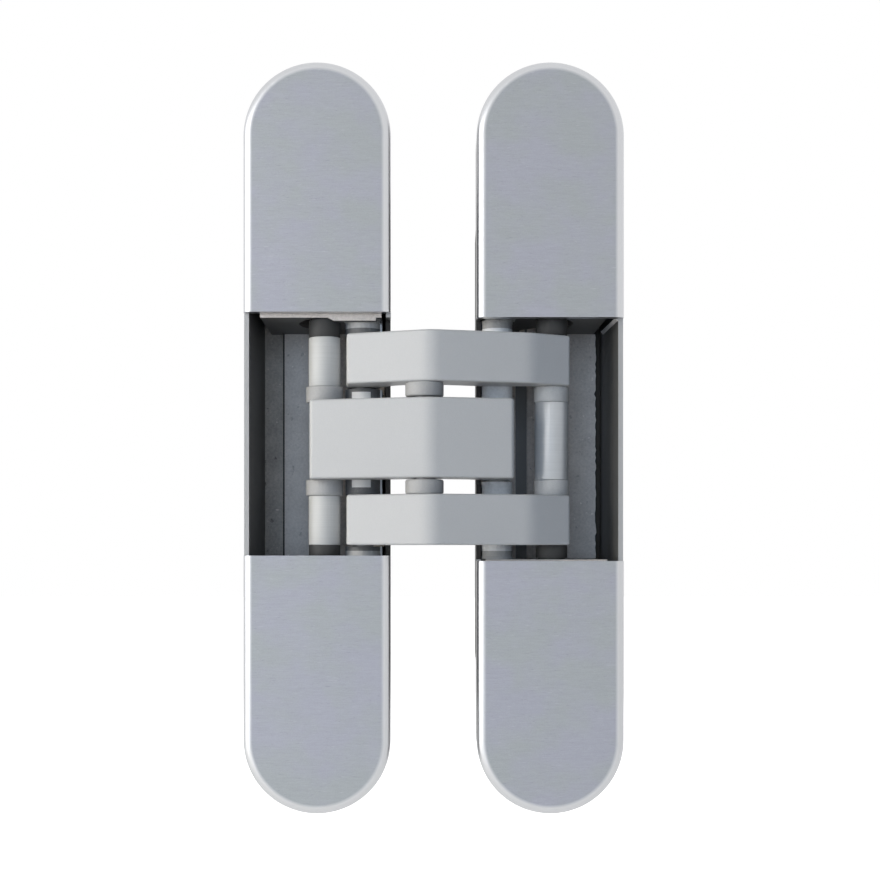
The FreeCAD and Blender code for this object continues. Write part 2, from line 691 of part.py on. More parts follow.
def carriage(leaf, linkage):
    """The adjustable insert: a floor, two round-ended blocks and the knuckles of the leaf's pivot.

    Each end block has a curved groove in which the other arm's guide shoe runs.
    """
    inner = LEAVES[leaf]["inner"]
    sign = "" if inner > 0 else "-"
    pivot = sign + leaf + "_pivot_offset"
    middle = sign + "carriage_middle"
    start = low_side(inner, "carriage_outer", "carriage_inner")
    floor_start = low_side(inner, f"carriage_outer + {leaf}_floor_inset", "carriage_inner")
    stock = fuse(leaf + "_stock", [
        box(leaf + "_bar", start, "block_front", "-deep_top",
            "carriage_width", "pocket_floor - block_front", "2 * deep_top"),
        rod(leaf + "_upper_end", "carriage_radius", "pocket_floor - block_front",
            middle, "block_front", "deep_top", "y"),
        rod(leaf + "_lower_end", "carriage_radius", "pocket_floor - block_front",
            middle, "block_front", "-deep_top", "y"),
    ])
    window = box(leaf + "_window", start, "block_front", "-block_edge",
                 "carriage_width", "pocket_floor - block_front", "2 * block_edge")
    solids = [
        cut(leaf + "_blocks", stock, [window]),
        box(leaf + "_floor", floor_start, "carriage_front", "-block_edge",
            f"carriage_width - {leaf}_floor_inset", "carriage_floor", "2 * block_edge"),
        rod(leaf + "_upper_pad", leaf + "_pad_radius", "pad_height", pivot, "pivot_depth",
            "block_edge - pad_height"),
        rod(leaf + "_lower_pad", leaf + "_pad_radius", "pad_height", pivot, "pivot_depth",
            "-block_edge"),
    ]
    for name, (low, high) in knuckle_spans(leaf).items():
        solids += knuckle(leaf, pivot, f"{leaf}_{name}_knuckle", low, high)

    clamp_x, adjuster_x, journal_x = screw_places(leaf)
    tools = [rod(leaf + "_pivot_bore", "pin_seat", "2 * (block_edge + pin_bury)", pivot,
                 "pivot_depth", "-block_edge - pin_bury")]
    for name, end in (("upper", ""), ("lower", "-")):
        tools += [
            rod(f"{leaf}_{name}_clamp_bore", "clamp_bore", "pocket_floor",
                clamp_x, "0", end + "clamp_z", "y"),
            rod(f"{leaf}_{name}_clamp_seat", "clamp_head_radius + seat_clearance",
                "screw_front + clamp_head_height", clamp_x, "0", end + "clamp_z", "y"),
            rod(f"{leaf}_{name}_adjuster_bore", "adjuster_journal + seat_clearance", "pocket_floor",
                journal_x, "0", end + "deep_top", "y"),
            rod(f"{leaf}_{name}_adjuster_seat", "adjuster_radius + seat_clearance",
                "screw_front + adjuster_head_height", adjuster_x, "0", end + "deep_top", "y"),
        ]
    path = guide_path(linkage, leaf)
    reach = size("shoe_radius") + size("groove_clearance")
    edge = size("block_edge")
    for name, low in (("upper", edge), ("lower", -edge - size("groove_depth"))):
        groove = doc.addObject("Part::Feature", f"{leaf}_{name}_groove")
        groove.Shape = curved_slot(path, reach, low, size("groove_depth"))
        tools.append(groove)
    body = fuse(leaf + "_carriage_solid", solids)
    finish(cut(leaf + "_carriage", body, tools), leaf + "_carriage", LEAVES[leaf]["across"])


def screw_places(leaf):
    """X of the clamp screws, of the adjusting screws and of their eccentric journals."""
    sign, other = ("", "-") if LEAVES[leaf]["inner"] > 0 else ("-", "")
    return (sign + "clamp_offset", other + "adjuster_offset",
            f"{other}(adjuster_offset - adjuster_throw)")


def clamp_screws(leaf):
    """Two socket head screws that clamp the carriage to the housing."""
    clamp_x = screw_places(leaf)[0]
    pieces = []
    for name, up in (("upper", "clamp_z"), ("lower", "-clamp_z")):
        stem = f"{leaf}_{name}_clamp"
        head = rod(stem + "_head", "clamp_head_radius", "clamp_head_height", clamp_x,
                   "screw_front", up, "y")
        shank = rod(stem + "_shank", "clamp_radius", "housing_depth - side_clearance - screw_front",
                    clamp_x, "screw_front", up, "y")
        socket = hexagon(stem + "_socket", "clamp_socket", "socket_depth", clamp_x, "screw_front", up)
        pieces.append(cut(stem, fuse(stem + "_solid", [head, shank]), [socket]))
    finish(fuse(leaf + "_clamp_screws", pieces), leaf + "_clamp_screws", LEAVES[leaf]["across"])


def adjusting_screws(leaf):
    """Two eccentric screws that shift the carriage sideways and in height."""
    adjuster_x, journal_x = screw_places(leaf)[1:]
    pieces = []
    for name, up in (("upper", "deep_top"), ("lower", "-deep_top")):
        stem = f"{leaf}_{name}_adjuster"
        head = rod(stem + "_head", "adjuster_radius", "adjuster_head_height", adjuster_x,
                   "screw_front", up, "y")
        journal = rod(stem + "_journal", "adjuster_journal", "pocket_floor - screw_front", journal_x,
                      "screw_front", up, "y")
        socket = hexagon(stem + "_socket", "adjuster_socket", "socket_depth", adjuster_x,
                         "screw_front", up)
        pieces.append(cut(stem, fuse(stem + "_solid", [head, journal]), [socket]))
    finish(fuse(leaf + "_adjusting_screws", pieces), leaf + "_adjusting_screws",
           LEAVES[leaf]["across"])


def pivot_pin(leaf):
    """The plain pin through the leaf's knuckles, held in both end blocks."""
    plain_pin(leaf + "_pivot_pin", leaf + "_pivot_x", "pivot_depth",
              "-block_edge - pin_bury", "block_edge + pin_bury")


# Arms

def arm(name, low, high, corners, holes):
    """An arm cut from a creased bar: a corner list, each with its rounding, and its bores."""
    body = doc.addObject("PartDesign::Body", name)
    outline = new_sketch(body, name + "_outline", "XY_Plane", low)
    polygon(outline, [(across, depth) for across, depth, rounding in corners])
    pad(body, outline, high)
    for rounding in sorted({corner[2] for corner in corners if corner[2]}):
        spots = [(size_of(across), size_of(depth))
                 for across, depth, own in corners if own == rounding]
        dress(
            body, "Fillet", rounding,
            lambda edge, spots=spots: is_upright(edge) and any(
                near(edge.BoundBox.XMin, across) and near(edge.BoundBox.YMin, depth)
                for across, depth in spots),
        )
    bottom = body.Tip.Shape.BoundBox.ZMin
    top = body.Tip.Shape.BoundBox.ZMax
    dress(
        body, "Fillet", "arm_rounding",
        lambda edge: near(edge.BoundBox.ZLength, 0) and (
            near(edge.BoundBox.ZMin, bottom) or near(edge.BoundBox.ZMin, top)),
    )
    bores = new_sketch(body, name + "_bores", "XY_Plane", f"{low} + {high}")
    for radius, across, depth in holes:
        circles(bores, radius, [(across, depth)])
    pocket(body, bores, high)
    finish(body, name)


def outer_arms():
    corners = [
        ("outer_left_x", "outer_left_depth", "front_corner_radius"),
        ("crease_x", "crease_depth", "crease_radius"),
        ("outer_bend_x", "outer_bend_depth", "bend_radius"),
        ("outer_right_x", "outer_right_depth", "front_corner_radius"),
        ("outer_right_x", "outer_slide_back", "end_corner_radius"),
        ("outer_slide_inner", "outer_slide_back", "end_corner_radius"),
        ("outer_slide_inner", "outer_back_depth", "outer_step_radius"),
        ("outer_flat_x", "outer_back_depth", "hollow_radius"),
        ("crossing_x", "arm_back", "hollow_radius"),
        ("outer_waist_x", "waist_depth", "hollow_radius"),
        ("outer_heel_x", "shoulder_depth", "hollow_radius"),
        ("outer_heel_x", "outer_heel_back", "end_corner_radius"),
        ("outer_heel_outer_x", "outer_heel_back", "end_corner_radius"),
    ]
    holes = [
        ("bush_bore", "frame_pivot_x", "pivot_depth"),
        ("pin_seat", "crossing_x", "crossing_depth"),
        ("pin_seat", "outer_slide_x", "outer_slide_depth"),
    ]
    arm("upper_outer_arm", "upper_arm_z", "outer_arm_height", corners, holes)
    arm("lower_outer_arm", "lower_arm_z", "outer_arm_height", corners, holes)


def middle_arm():
    corners = [
        ("middle_left_x", "middle_left_depth", "front_corner_radius"),
        ("crease_x", "crease_depth", "crease_radius"),
        ("middle_right_x", "middle_right_depth", "front_corner_radius"),
        ("middle_heel_x", "middle_heel_back", "end_corner_radius"),
        ("middle_heel_inner_x", "middle_heel_back", "end_corner_radius"),
        ("middle_heel_inner_x", "shoulder_depth", "hollow_radius"),
        ("middle_waist_x", "waist_depth", "hollow_radius"),
        ("crossing_x", "arm_back", "hollow_radius"),
        ("middle_flat_x", "middle_back_depth", "hollow_radius"),
        ("middle_slide_inner", "middle_back_depth", "middle_step_radius"),
        ("middle_slide_inner", "middle_slide_back", "end_corner_radius"),
        ("middle_slide_outer", "middle_slide_back", "end_corner_radius"),
    ]
    holes = [
        ("bush_bore", "door_pivot_x", "pivot_depth"),
        ("bush_bore", "crossing_x", "crossing_depth"),
        ("pin_seat", "inner_slide_x", "inner_slide_depth"),
    ]
    arm("middle_arm", "middle_arm_z", "middle_arm_height", corners, holes)


# Turned pieces

def ring(name, radius, bore, tall, across, depth, up):
    """A plain sleeve, washer or bush."""
    outside = rod(name + "_outside", radius, tall, across, depth, up)
    inside = rod(name + "_inside", bore, tall, across, depth, up)
    finish(cut(name + "_ring", outside, [inside]), name)


def shoe(name, upper, radius, across, depth):
    """A guide shoe: a collar beside the end block and a spigot that runs in its groove."""
    if upper:
        collar_low, collar_high = "stack_z + outer_high", "block_edge - side_clearance"
        spigot_low, bore_low = "stack_z + outer_high", "stack_z + outer_high"
    else:
        collar_low, collar_high = "-block_edge + side_clearance", "stack_z - outer_high"
        spigot_low, bore_low = "-block_edge - shoe_depth", "-block_edge"
    collar = rod(name + "_collar", radius, f"({collar_high}) - ({collar_low})", across, depth,
                 collar_low)
    reach = "block_edge + shoe_depth" if upper else "stack_z - outer_high"
    spigot = rod(name + "_spigot", "shoe_radius", f"({reach}) - ({spigot_low})", across, depth,
                 spigot_low)
    inside = "block_edge" if upper else "stack_z - outer_high"
    bore = rod(name + "_bore", "pin_seat", f"({inside}) - ({bore_low})", across, depth, bore_low)
    finish(cut(name + "_turned", fuse(name + "_solid", [collar, spigot]), [bore]), name)


def plain_pin(name, across, depth, low, high):
    pin = rod(name, "pin_radius", f"({high}) - ({low})", f"{across} + leaf_half_width",
              f"{depth} - seat_depth", low)
    pin.Label = name
    SUB_PARTS.append(pin)


def crossing_pieces():
    place_at = ("crossing_x", "crossing_depth")
    plain_pin("crossing_pin", *place_at, "stack_z - outer_high + pin_recess",
              "stack_z + outer_high - pin_recess")
    ring("upper_spacer", "spacer_radius", "pin_seat", "arm_gap - side_clearance", *place_at,
         "stack_z + middle_half + side_clearance")
    ring("lower_spacer", "spacer_radius", "pin_seat", "arm_gap - side_clearance", *place_at,
         "stack_z - outer_low")
    ring("crossing_bush", "bush_radius", "running_bore", "middle_arm_height", *place_at,
         "stack_z - middle_half")


def pivot_bushes():
    for name, low in (("upper", "stack_z + outer_low"), ("lower", "stack_z - outer_high")):
        ring(name + "_pivot_bush", "bush_radius", "running_bore", "outer_arm_height",
             "frame_pivot_x", "pivot_depth", low)
    ring("middle_pivot_bush", "bush_radius", "running_bore", "middle_arm_height",
         "door_pivot_x", "pivot_depth", "stack_z - middle_half")


def inner_slide_pieces():
    """The middle arm's slide pin, with a washer, a sleeve and a shoe above and below the arm."""
    place_at = ("inner_slide_x", "inner_slide_depth")
    plain_pin("inner_slide_pin", *place_at, "-block_edge", "block_edge")
    ring("upper_inner_washer", "washer_radius", "pin_seat", "arm_gap", *place_at,
         "stack_z + middle_half")
    ring("lower_inner_washer", "washer_radius", "pin_seat", "arm_gap", *place_at,
         "stack_z - outer_low")
    ring("upper_sleeve", "sleeve_radius", "pin_seat", "outer_arm_height", *place_at,
         "stack_z + outer_low")
    ring("lower_sleeve", "sleeve_radius", "pin_seat", "outer_arm_height", *place_at,
         "stack_z - outer_high")
    shoe("upper_inner_shoe", True, "sleeve_radius", *place_at)
    shoe("lower_inner_shoe", False, "sleeve_radius", *place_at)


def outer_slide_pieces():
    """The outer arms' slide pin, with a sleeve and two washers between them and a shoe each side."""
    place_at = ("outer_slide_x", "outer_slide_depth")
    plain_pin("outer_slide_pin", *place_at, "-block_edge", "block_edge")
    ring("middle_sleeve", "outer_sleeve_radius", "pin_seat", "middle_arm_height", *place_at,
         "stack_z - middle_half")
    ring("upper_outer_washer", "outer_washer_radius", "pin_seat", "arm_gap", *place_at,
         "stack_z + middle_half")
    ring("lower_outer_washer", "outer_washer_radius", "pin_seat", "arm_gap", *place_at,
         "stack_z - outer_low")
    shoe("upper_outer_shoe", True, "sleeve_radius", *place_at)
    shoe("lower_outer_shoe", False, "sleeve_radius", *place_at)


def check_and_write():
    """See that every object is sound, then write one file for each sub-part."""
    doc.recompute()
    for obj in doc.Objects:
        if {"Invalid", "Error"} & set(obj.State):
            raise RuntimeError(f"{obj.Name} failed: {obj.State}")
    os.makedirs("parts", exist_ok=True)
    for obj in SUB_PARTS:
        shape = obj.Shape
        if shape.isNull() or not shape.isValid():
            raise RuntimeError(obj.Label + " has no sound shape")
        print(f"{obj.Label:24s} {len(shape.Solids)} solid(s) {shape.Volume:10.1f} mm3")
    for obj in SUB_PARTS:
        obj.Shape.exportStep(f"parts/{obj.Label}.step")


def main():
    fill_sheet()
    linkage = Linkage()
    print(f"outer arms turn {math.degrees(linkage.outer_turn):.4f} degrees, "
          f"middle arm {math.degrees(linkage.middle_turn):.4f}")
    for leaf in LEAVES:
        housing(leaf)
        carriage(leaf, linkage)
        for end in ("upper", "lower"):
            cap(leaf, end)
        clamp_screws(leaf)
        adjusting_screws(leaf)
        pivot_pin(leaf)
    outer_arms()
    middle_arm()
    crossing_pieces()
    pivot_bushes()
    inner_slide_pieces()
    outer_slide_pieces()
    check_and_write()


main()
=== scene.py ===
"""Looks of the concealed door hinge: finishes, small cast details, studio and camera.

Metres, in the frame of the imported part: +Z up, the leaves' faces look along -Y, the frame leaf
on the left (-X) and the door leaf on the right. Colors are linear.
"""

import json
import math
import random

import bmesh
import bpy
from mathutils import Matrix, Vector

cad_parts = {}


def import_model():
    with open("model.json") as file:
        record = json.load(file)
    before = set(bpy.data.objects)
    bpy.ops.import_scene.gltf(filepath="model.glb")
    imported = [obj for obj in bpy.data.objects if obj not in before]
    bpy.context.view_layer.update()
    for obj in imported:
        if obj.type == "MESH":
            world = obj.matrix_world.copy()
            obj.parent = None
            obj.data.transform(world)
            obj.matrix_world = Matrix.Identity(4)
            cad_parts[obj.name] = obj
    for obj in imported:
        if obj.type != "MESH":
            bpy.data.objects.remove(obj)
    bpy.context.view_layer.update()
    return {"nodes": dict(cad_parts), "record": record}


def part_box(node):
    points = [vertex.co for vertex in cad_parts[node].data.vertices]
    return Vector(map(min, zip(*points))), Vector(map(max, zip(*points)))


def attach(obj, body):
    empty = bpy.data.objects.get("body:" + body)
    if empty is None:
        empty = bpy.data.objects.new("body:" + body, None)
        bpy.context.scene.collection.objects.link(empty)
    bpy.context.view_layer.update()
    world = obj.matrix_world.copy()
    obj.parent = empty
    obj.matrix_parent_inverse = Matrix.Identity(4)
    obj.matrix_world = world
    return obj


MM = 0.001

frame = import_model()

# Half the height of a carriage's floor, between its end blocks
FLOOR_REACH = 24.75 * MM
# Across the door carriage's floor: a band of painted shade for a shallow channel, and the rib
# beside that
SHADED_CHANNEL = (42.1 * MM, 44.5 * MM)
RIB = (44.6 * MM, 45.9 * MM)

# What nearly all noise lies between, and what only its rare peaks pass
NOISE = (0.3, 0.7)
PEAKS = (0.66, 0.76)


# Node graphs

class Graph:
    """A node tree and short calls for the nodes in it."""

    def __init__(self, tree):
        self.tree = tree

    def node(self, kind, **settings):
        made = self.tree.nodes.new(kind)
        for key, value in settings.items():
            setattr(made, key, value)
        return made

    def feed(self, socket, value):
        """Link a node's output to a socket, or set a plain value on it."""
        if isinstance(value, bpy.types.NodeSocket):
            self.tree.links.new(value, socket)
        else:
            socket.default_value = value

    def math(self, operation, *values):
        combined = self.node("ShaderNodeMath", operation=operation)
        for socket, value in zip(combined.inputs, values):
            self.feed(socket, value)
        return combined.outputs["Value"]

    def both(self, first, second):
        return self.math("MULTIPLY", first, second)

    def span(self, value, low, high, out_low=0.0, out_high=1.0):
        """A value taken from one range to another, held at its ends."""
        ranged = self.node("ShaderNodeMapRange")
        for key, given in (("Value", value), ("From Min", low), ("From Max", high),
                           ("To Min", out_low), ("To Max", out_high)):
            self.feed(ranged.inputs[key], given)
        return ranged.outputs["Result"]

    def axis(self, vector, name):
        """One coordinate of a vector."""
        split = self.node("ShaderNodeSeparateXYZ")
        self.feed(split.inputs["Vector"], vector)
        return split.outputs[name]

    def seen_directly(self):
        """1 for camera, mirror and see-through rays, which show the plain background."""
        rays = self.node("ShaderNodeLightPath").outputs
        mirrored = self.math("MAXIMUM", rays["Is Camera Ray"], rays["Is Glossy Ray"])
        return self.math("MAXIMUM", mirrored, rays["Is Transmission Ray"])


class Finish(Graph):
    """A material, with calls for its textures and for masks over the part."""

    def __init__(self, name, color, metallic, roughness):
        self.material = bpy.data.materials.new(name)
        self.material.use_nodes = True
        super().__init__(self.material.node_tree)
        self.shader = self.tree.nodes["Principled BSDF"]
        self.color = color
        self.set("Base Color", (*color, 1))
        self.set("Metallic", metallic)
        self.set("Roughness", roughness)
        self.place = self.node("ShaderNodeTexCoord")

    def set(self, key, value):
        self.feed(self.shader.inputs[key], value)

    def noise(self, per_metre, detail=3.0, roughness=0.55, offset=(0, 0, 0)):
        """Noise with its own count of waves to the metre along X, Y and Z."""
        mapping = self.node("ShaderNodeMapping")
        mapping.inputs["Scale"].default_value = per_metre
        mapping.inputs["Location"].default_value = offset
        self.feed(mapping.inputs["Vector"], self.place.outputs["Object"])
        texture = self.node("ShaderNodeTexNoise")
        texture.inputs["Scale"].default_value = 1
        texture.inputs["Detail"].default_value = detail
        texture.inputs["Roughness"].default_value = roughness
        self.feed(texture.inputs["Vector"], mapping.outputs["Vector"])
        return texture.outputs["Fac"]

    def mix(self, factor, first, second):
        """One color turning into another, also beyond them."""
        mixed = self.node("ShaderNodeMix", data_type="RGBA", clamp_factor=False)
        self.feed(mixed.inputs["Factor"], factor)
        for key, value in (("A", first), ("B", second)):
            socket = next(s for s in mixed.inputs if s.name == key and s.type == "RGBA")
            self.feed(socket, value if isinstance(value, bpy.types.NodeSocket) else (*value, 1))
        return next(s for s in mixed.outputs if s.type == "RGBA")

    def shade(self, factor, amount, color=None):
        """A color, darker and lighter by that share as the factor runs from 0 to 1."""
        color = color or self.color
        dark = [c * (1 - amount) for c in color]
        light = [min(1, c * (1 + amount)) for c in color]
        return self.mix(factor, dark, light)

    def at(self, axis):
        """One coordinate of the place, in the part's own frame."""
        return self.axis(self.place.outputs["Object"], axis)

    def within(self, axis, low, high):
        """1 where one coordinate of the place lies between two values."""
        return self.math("COMPARE", self.at(axis), (low + high) / 2, (high - low) / 2)

    def faces_front(self, limit=-0.98):
        """1 where the surface looks along -Y."""
        return self.math("LESS_THAN", self.axis(self.place.outputs["Normal"], "Y"), limit)

    def bump(self, height, depth):
        bumped = self.node("ShaderNodeBump")
        bumped.inputs["Distance"].default_value = depth
        bumped.inputs["Strength"].default_value = 1.0
        self.feed(bumped.inputs["Height"], height)
        self.set("Normal", bumped.outputs["Normal"])


# Finishes, one function each

def inward_of_outline(finish):
    """How far a place on any cap lies in from the round-ended outline of its leaf."""
    low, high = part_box("frame_upper_cap")
    radius = (high.x - low.x) / 2
    half_pitch = (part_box("door_upper_cap")[0].x - low.x) / 2
    across = finish.math("ABSOLUTE", finish.math("SUBTRACT", finish.at("X"), half_pitch))
    across = finish.math("SUBTRACT", across, half_pitch)
    beyond = finish.math("SUBTRACT", finish.math("ABSOLUTE", finish.at("Z")), high.z - radius)
    beyond = finish.math("MAXIMUM", beyond, 0.0)
    squared = finish.math("ADD", finish.both(across, across), finish.both(beyond, beyond))
    return finish.math("SUBTRACT", radius, finish.math("SQRT", squared))


def satin_cover():
    """Softly clouded face with sparse fine scratches, inside a polished rounded rim."""
    finish = Finish("satin_cover", (0.365, 0.38, 0.43), 1.0, 0.38)
    rim_color, polished = (0.645, 0.655, 0.675), 0.33
    rim_ends, face_starts = 1.3 * MM, 1.95 * MM
    face = finish.both(finish.faces_front(-0.9),
                       finish.span(inward_of_outline(finish), rim_ends, face_starts))
    clouds = finish.span(finish.noise((95, 95, 120), detail=4), 0.38, 0.62)
    grain = finish.noise((3800, 3800, 5200), detail=3)
    streaks = finish.noise((420, 40, 4600), detail=4, roughness=0.6)
    brushed = finish.math("ADD", finish.both(streaks, 0.5), finish.both(grain, 0.5))
    color = finish.mix(finish.span(brushed, *NOISE),
                       finish.mix(clouds, (0.335, 0.348, 0.405), (0.328, 0.352, 0.372)),
                       finish.mix(clouds, (0.405, 0.42, 0.48), (0.398, 0.425, 0.448)))
    for per_metre, offset, share, scratch_color in (
            ((520, 40, 6400), (3, 0, 5), 0.5, (0.52, 0.535, 0.57)),
            ((700, 40, 6400), (11, 0, 2), 0.45, (0.22, 0.23, 0.27))):
        scratch = finish.span(finish.noise(per_metre, detail=2, offset=offset), *PEAKS)
        color = finish.mix(finish.both(scratch, share), color, scratch_color)
    finish.set("Base Color", finish.mix(face, rim_color, color))
    rough = finish.span(brushed, *NOISE, 0.34, 0.44)
    on_face = finish.both(face, finish.math("SUBTRACT", rough, polished))
    finish.set("Roughness", finish.math("ADD", on_face, polished))
    finish.bump(finish.both(brushed, face), 0.003 * MM)
    return finish.material


def casting(name, color):
    """A coated casting: the finish, and its cloudy, speckled and pitted mottle."""
    finish = Finish(name, color, 0.0, 0.5)
    grain = finish.noise((1700, 1700, 1700), detail=5, roughness=0.7)
    clouds = finish.noise((240, 240, 240), detail=3)
    mottle = finish.math("ADD", finish.both(grain, 0.65), finish.both(clouds, 0.35))
    mottle = finish.span(mottle, *NOISE)
    pits = finish.span(finish.noise((620, 620, 620), detail=2), 0.68, 0.73)
    specks = finish.span(finish.noise((900, 900, 900), detail=2, offset=(5, 2, 9)), 0.7, 0.75)
    mottle = finish.math("ADD", mottle, finish.both(specks, 0.9))
    mottle = finish.math("SUBTRACT", mottle, finish.both(pits, 0.6))
    finish.set("Roughness", finish.span(mottle, 0, 1, 0.42, 0.6))
    finish.bump(finish.math("SUBTRACT", grain, finish.both(pits, 0.8)), 0.06 * MM)
    return finish, mottle


def cast_housing(leaf, floor_light_and_shade):
    """Dark grey casting with a lighter machined front rim, painted shade on its lowered wall
    fronts, and a floor tone that is painted light on the frame leaf and painted shade on the door
    leaf.
    """
    finish, mottle = casting(leaf + "_housing", (0.09, 0.092, 0.093))
    low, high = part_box(leaf + "_housing")
    front = finish.faces_front()
    rim = finish.both(front, finish.within("Y", low.y - MM, low.y + 0.2 * MM))
    # Painted shade: the front faces of the lowered walls, 3 to 6 mm behind the rim, are
    # near-black.
    lowered_wall_shade = finish.both(front, finish.within("Y", low.y + 3 * MM, low.y + 6 * MM))
    # Floor at the back of the pocket: painted light on the frame leaf, painted shade on the door
    # leaf.
    painted_floor = finish.both(front, finish.within("Y", high.y - 4 * MM, high.y))
    color = finish.shade(mottle, 0.35)
    color = finish.mix(rim, color, (0.4, 0.405, 0.415))
    color = finish.mix(lowered_wall_shade, color, (0.016, 0.016, 0.017))
    color = finish.mix(painted_floor, color, finish.shade(mottle, 0.4, floor_light_and_shade))
    finish.set("Base Color", color)
    finish.set("Metallic", finish.both(rim, 0.4))
    return finish.material


def cast_carriage(leaf, knuckle_light_and_shade, pad_color):
    """Silver casting on what looks forward, with painted shade on its other sides.

    The round knuckles on the pivot pin, and the pads above and below them, have their own colors:
    the knuckles carry painted shade on the frame leaf and painted light on the door leaf.
    """
    finish, mottle = casting(leaf + "_carriage", (0.635, 0.592, 0.56))
    low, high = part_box(leaf + "_carriage")
    pivot = Vector(next(joint["pos_m"] for joint in frame["record"]["behaviour"]["joints"]
                        if joint["name"] == leaf + "_pivot"))
    front = finish.faces_front()
    deep = finish.within("Y", high.y - 3 * MM, high.y)
    round_pin = 3.7 * MM
    lug = finish.both(finish.within("X", pivot.x - round_pin, pivot.x + round_pin),
                      finish.within("Y", pivot.y - round_pin, pivot.y + 0.6 * MM))
    pad = finish.both(lug, finish.within("Z", -FLOOR_REACH, FLOOR_REACH))
    knuckle = finish.both(lug, finish.within("Z", -23 * MM, 23 * MM))
    # Painted shade: every side that does not look forward is darkened to 0.11.
    color = finish.mix(finish.faces_front(-0.5), finish.shade(mottle, 0.3, (0.11, 0.11, 0.11)),
                       finish.shade(mottle, 0.22))
    color = finish.mix(pad, color, finish.shade(mottle, 0.15, pad_color))
    # Knuckle tone: painted shade on the frame leaf, painted light on the door leaf.
    color = finish.mix(knuckle, color, finish.shade(mottle, 0.15, knuckle_light_and_shade))
    if leaf == "frame":
        # A painted highlight on the knuckles between the arms, and painted shade along a gap line
        # in the floor
        knuckle_highlight = finish.both(
            finish.both(knuckle, finish.within("X", pivot.x - 2.15 * MM, pivot.x + 1.75 * MM)),
            finish.within("Z", -9.9 * MM, 9.8 * MM))
        color = finish.mix(knuckle_highlight, color, (0.8, 0.8, 0.8))
        # Painted shade: a near-black line in the floor, 2.6 mm in from the carriage's outer side.
        edge = low.x + 2.6 * MM
        gap_shade = finish.both(deep, finish.within("X", edge - 0.05 * MM, edge + 0.35 * MM))
        color = finish.mix(gap_shade, color, (0.01, 0.01, 0.01))
    else:
        # Painted shade: the shallow channel is only a darker band on the floor.
        channel_shade = finish.both(deep, finish.within("X", *SHADED_CHANNEL))
        color = finish.mix(channel_shade, color, (0.2, 0.205, 0.215))
    # Painted highlight: a near-white line on the forward faces at the pivot's depth.
    web_highlight = finish.both(front, finish.within("Y", pivot.y - 0.3 * MM, pivot.y + 0.3 * MM))
    finish.set("Base Color", finish.mix(web_highlight, color, (0.9, 0.9, 0.9)))
    return finish.material


def silver_arm():
    """Matt silver coating with a fine sparkle."""
    finish = Finish("silver_arm", (0.56, 0.568, 0.582), 0.0, 0.5)
    finish.set("Specular IOR Level", 0.25)
    grain = finish.noise((5200, 5200, 5200), detail=2, roughness=0.7)
    clouds = finish.noise((60, 60, 60), detail=3)
    mottle = finish.math("ADD", finish.both(grain, 0.7), finish.both(clouds, 0.3))
    finish.set("Base Color", finish.shade(mottle, 0.1))
    finish.set("Roughness", finish.span(mottle, *NOISE, 0.38, 0.48))
    finish.bump(grain, 0.012 * MM)
    return finish.material


def turned(name, color, metallic, roughness):
    """A turned surface: fine rings round its axis."""
    finish = Finish(name, color, metallic, roughness)
    finish.set("Specular IOR Level", 0.3)
    rings = finish.noise((60, 60, 4200), detail=3)
    finish.set("Base Color", finish.shade(rings, 0.09))
    finish.set("Roughness", finish.span(rings, *NOISE, roughness - 0.05, roughness + 0.06))
    finish.bump(rings, 0.006 * MM)
    return finish.material


def moulded(name, color, roughness):
    """A matt moulded polymer with a slight grain."""
    finish = Finish(name, color, 0.0, roughness)
    grain = finish.noise((3000, 3000, 3000), detail=3)
    finish.set("Base Color", finish.shade(grain, 0.12))
    finish.set("Roughness", finish.span(grain, *NOISE, roughness - 0.06, roughness + 0.06))
    finish.bump(grain, 0.01 * MM)
    return finish.material


def zinc_screw():
    """Bright zinc with faint clouds and turning marks."""
    finish = Finish("zinc_screw", (0.45, 0.456, 0.47), 1.0, 0.3)
    clouds = finish.noise((900, 900, 900), detail=4)
    finish.set("Base Color", finish.shade(clouds, 0.14))
    finish.set("Roughness", finish.span(clouds, *NOISE, 0.18, 0.34))
    finish.bump(clouds, 0.01 * MM)
    return finish.material


